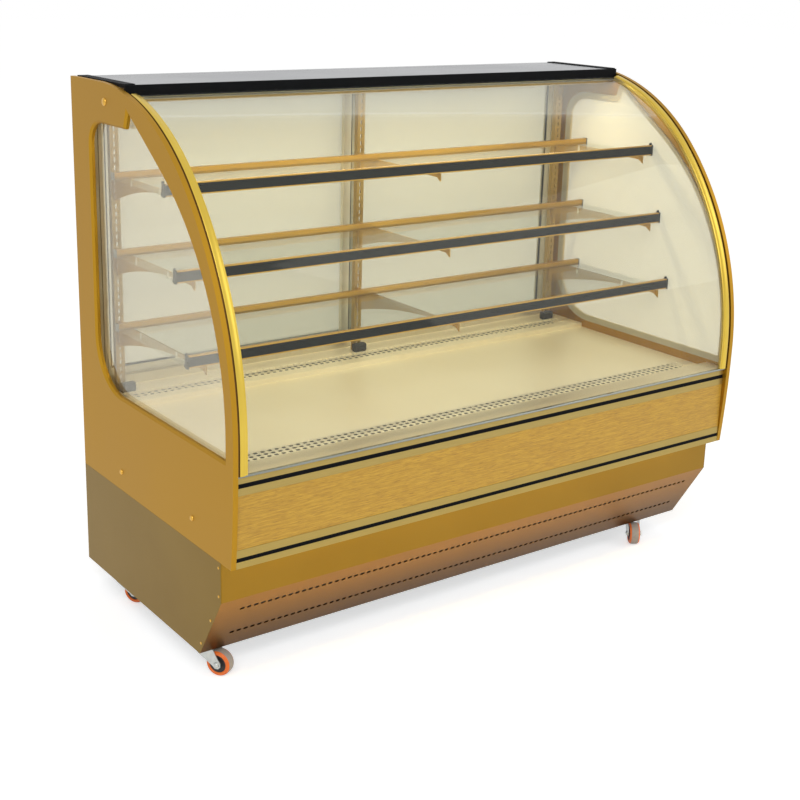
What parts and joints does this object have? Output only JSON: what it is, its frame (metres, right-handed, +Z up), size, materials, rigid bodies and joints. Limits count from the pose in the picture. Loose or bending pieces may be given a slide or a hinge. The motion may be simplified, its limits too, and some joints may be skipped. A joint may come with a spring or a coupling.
{
  "type": "refrigerated display case",
  "caption": "Refrigerated counter display case with curved front glass, lit glass shelves, sliding rear doors, wood front band and a slotted base on swivel casters.",
  "frame": {"origin": "centre of the box that the case fills, at floor level", "axes": "+X along the length to the right as seen from the front, +Y to the rear, +Z up"},
  "size_m": [1.508, 0.746, 1.27],
  "materials": {
    "gold_panel": "satin champagne gold lacquer",
    "base_brass": "brushed brass coloured sheet",
    "bright_gold": "bright gold anodised",
    "champagne": "satin champagne anodised",
    "black_trim": "black",
    "oak": "light oak, horizontal grain",
    "clear_glass": "clear float glass",
    "top_glass": "dark back painted glass",
    "lamp": "warm white diffuser",
    "foam_liner": "white coated steel",
    "stainless": "brushed stainless",
    "shelf_gold": "satin gold anodised",
    "door_aluminium": "satin anodised",
    "zinc": "bright zinc plate",
    "wheel_orange": "orange polyurethane",
    "frame_steel": "black enamel",
    "grey_plastic": "dark grey moulded",
    "coil": "bare fins",
    "galvanised": "galvanised sheet"
  },
  "bodies": {
    "case": {"base_floor_pan": "galvanised", "base_frame": "frame_steel", "base_front_panel": "base_brass", "base_rear_grille": "base_brass", "base_side_panels": "base_brass", "cable_sockets": "grey_plastic", "caster_plates": "zinc", "compressor": "frame_steel", "condenser_coil": "coil", "condenser_fan_shroud": "galvanised", "controller_box": "grey_plastic", "deck_pan": "stainless", "drain_tray": "galvanised", "end_glasses": "clear_glass", "end_panel_left": "gold_panel", "end_panel_right": "gold_panel", "evaporator_coil": "coil", "front_air_grille": "stainless", "front_glass": "clear_glass", "front_sill": "champagne", "front_strips": "black_trim", "glass_edge_profiles": "bright_gold", "glass_head_rail": "champagne", "inlet_gland": "grey_plastic", "insulated_well": "foam_liner", "led_strips": "lamp", "lower_front_rail": "champagne", "panel_bolts": "zinc", "rear_air_grille": "stainless", "rear_door_frame": "door_aluminium", "shelf_brackets": "shelf_gold", "shelf_front_rails": "shelf_gold", "shelf_glasses": "clear_glass", "shelf_rail_strips": "black_trim", "shelf_rear_rails": "shelf_gold", "shelf_uprights": "shelf_gold", "top_panel": "top_glass", "top_profile": "black_trim", "wood_panel": "oak"},
    "door_left": {"door_left_frame": "door_aluminium", "door_left_glass": "clear_glass"},
    "door_right": {"door_right_frame": "door_aluminium", "door_right_glass": "clear_glass"},
    "condenser_fan": {"condenser_fan": "grey_plastic"},
    "evaporator_fan": {"evaporator_fan": "grey_plastic"},
    "power_switch": {"power_switch": "black_trim"},
    "light_switch": {"light_switch": "black_trim"},
    "fork_front_left": {"caster_fork_front_left": "zinc"},
    "wheel_front_left": {"caster_wheel_front_left": "wheel_orange"},
    "fork_front_right": {"caster_fork_front_right": "zinc"},
    "wheel_front_right": {"caster_wheel_front_right": "wheel_orange"},
    "fork_rear_left": {"caster_fork_rear_left": "zinc"},
    "wheel_rear_left": {"caster_wheel_rear_left": "wheel_orange"},
    "fork_rear_right": {"caster_fork_rear_right": "zinc"},
    "wheel_rear_right": {"caster_wheel_rear_right": "wheel_orange"}
  },
  "joints": [
    {"name": "door_left_slide", "type": "slide", "parent": "case", "child": "door_left", "axis": [1, 0, 0], "range_m": [0, 0.6875]},
    {"name": "door_right_slide", "type": "slide", "parent": "case", "child": "door_right", "axis": [1, 0, 0], "range_m": [-0.6875, 0]},
    {"name": "swivel_front_left", "type": "hinge", "parent": "case", "child": "fork_front_left", "pos_m": [-0.714, -0.191, 0.07], "axis": [0, 0, 1], "continuous": true},
    {"name": "roll_front_left", "type": "hinge", "parent": "fork_front_left", "child": "wheel_front_left", "pos_m": [-0.69855, -0.21671, 0.03], "axis": [0.8572, 0.515, 0], "continuous": true},
    {"name": "swivel_front_right", "type": "hinge", "parent": "case", "child": "fork_front_right", "pos_m": [0.62, -0.191, 0.07], "axis": [0, 0, 1], "continuous": true},
    {"name": "roll_front_right", "type": "hinge", "parent": "fork_front_right", "child": "wheel_front_right", "pos_m": [0.60237, -0.21527, 0.03], "axis": [0.809, -0.5878, 0], "continuous": true},
    {"name": "swivel_rear_left", "type": "hinge", "parent": "case", "child": "fork_rear_left", "pos_m": [-0.714, 0.231, 0.07], "axis": [0, 0, 1], "continuous": true},
    {"name": "roll_rear_left", "type": "hinge", "parent": "fork_rear_left", "child": "wheel_rear_left", "pos_m": [-0.69855, 0.20528, 0.03], "axis": [0.8572, 0.515, 0], "continuous": true},
    {"name": "swivel_rear_right", "type": "hinge", "parent": "case", "child": "fork_rear_right", "pos_m": [0.62, 0.231, 0.07], "axis": [0, 0, 1], "continuous": true},
    {"name": "roll_rear_right", "type": "hinge", "parent": "fork_rear_right", "child": "wheel_rear_right", "pos_m": [0.64819, 0.22074, 0.03], "axis": [0.342, 0.9397, 0], "continuous": true},
    {"name": "condenser_fan_spin", "type": "hinge", "parent": "case", "child": "condenser_fan", "pos_m": [-0.06, 0.029, 0.1765], "axis": [0, 1, 0], "continuous": true},
    {"name": "evaporator_fan_spin", "type": "hinge", "parent": "case", "child": "evaporator_fan", "pos_m": [-0.56, 0.114, 0.405], "axis": [1, 0, 0], "continuous": true},
    {"name": "power_switch_rock", "type": "hinge", "parent": "case", "child": "power_switch", "pos_m": [-0.532, 0.367, 0.229], "axis": [1, 0, 0], "range_deg": [0, 8]},
    {"name": "light_switch_rock", "type": "hinge", "parent": "case", "child": "light_switch", "pos_m": [-0.508, 0.367, 0.229], "axis": [1, 0, 0], "range_deg": [0, 8]}
  ]
}
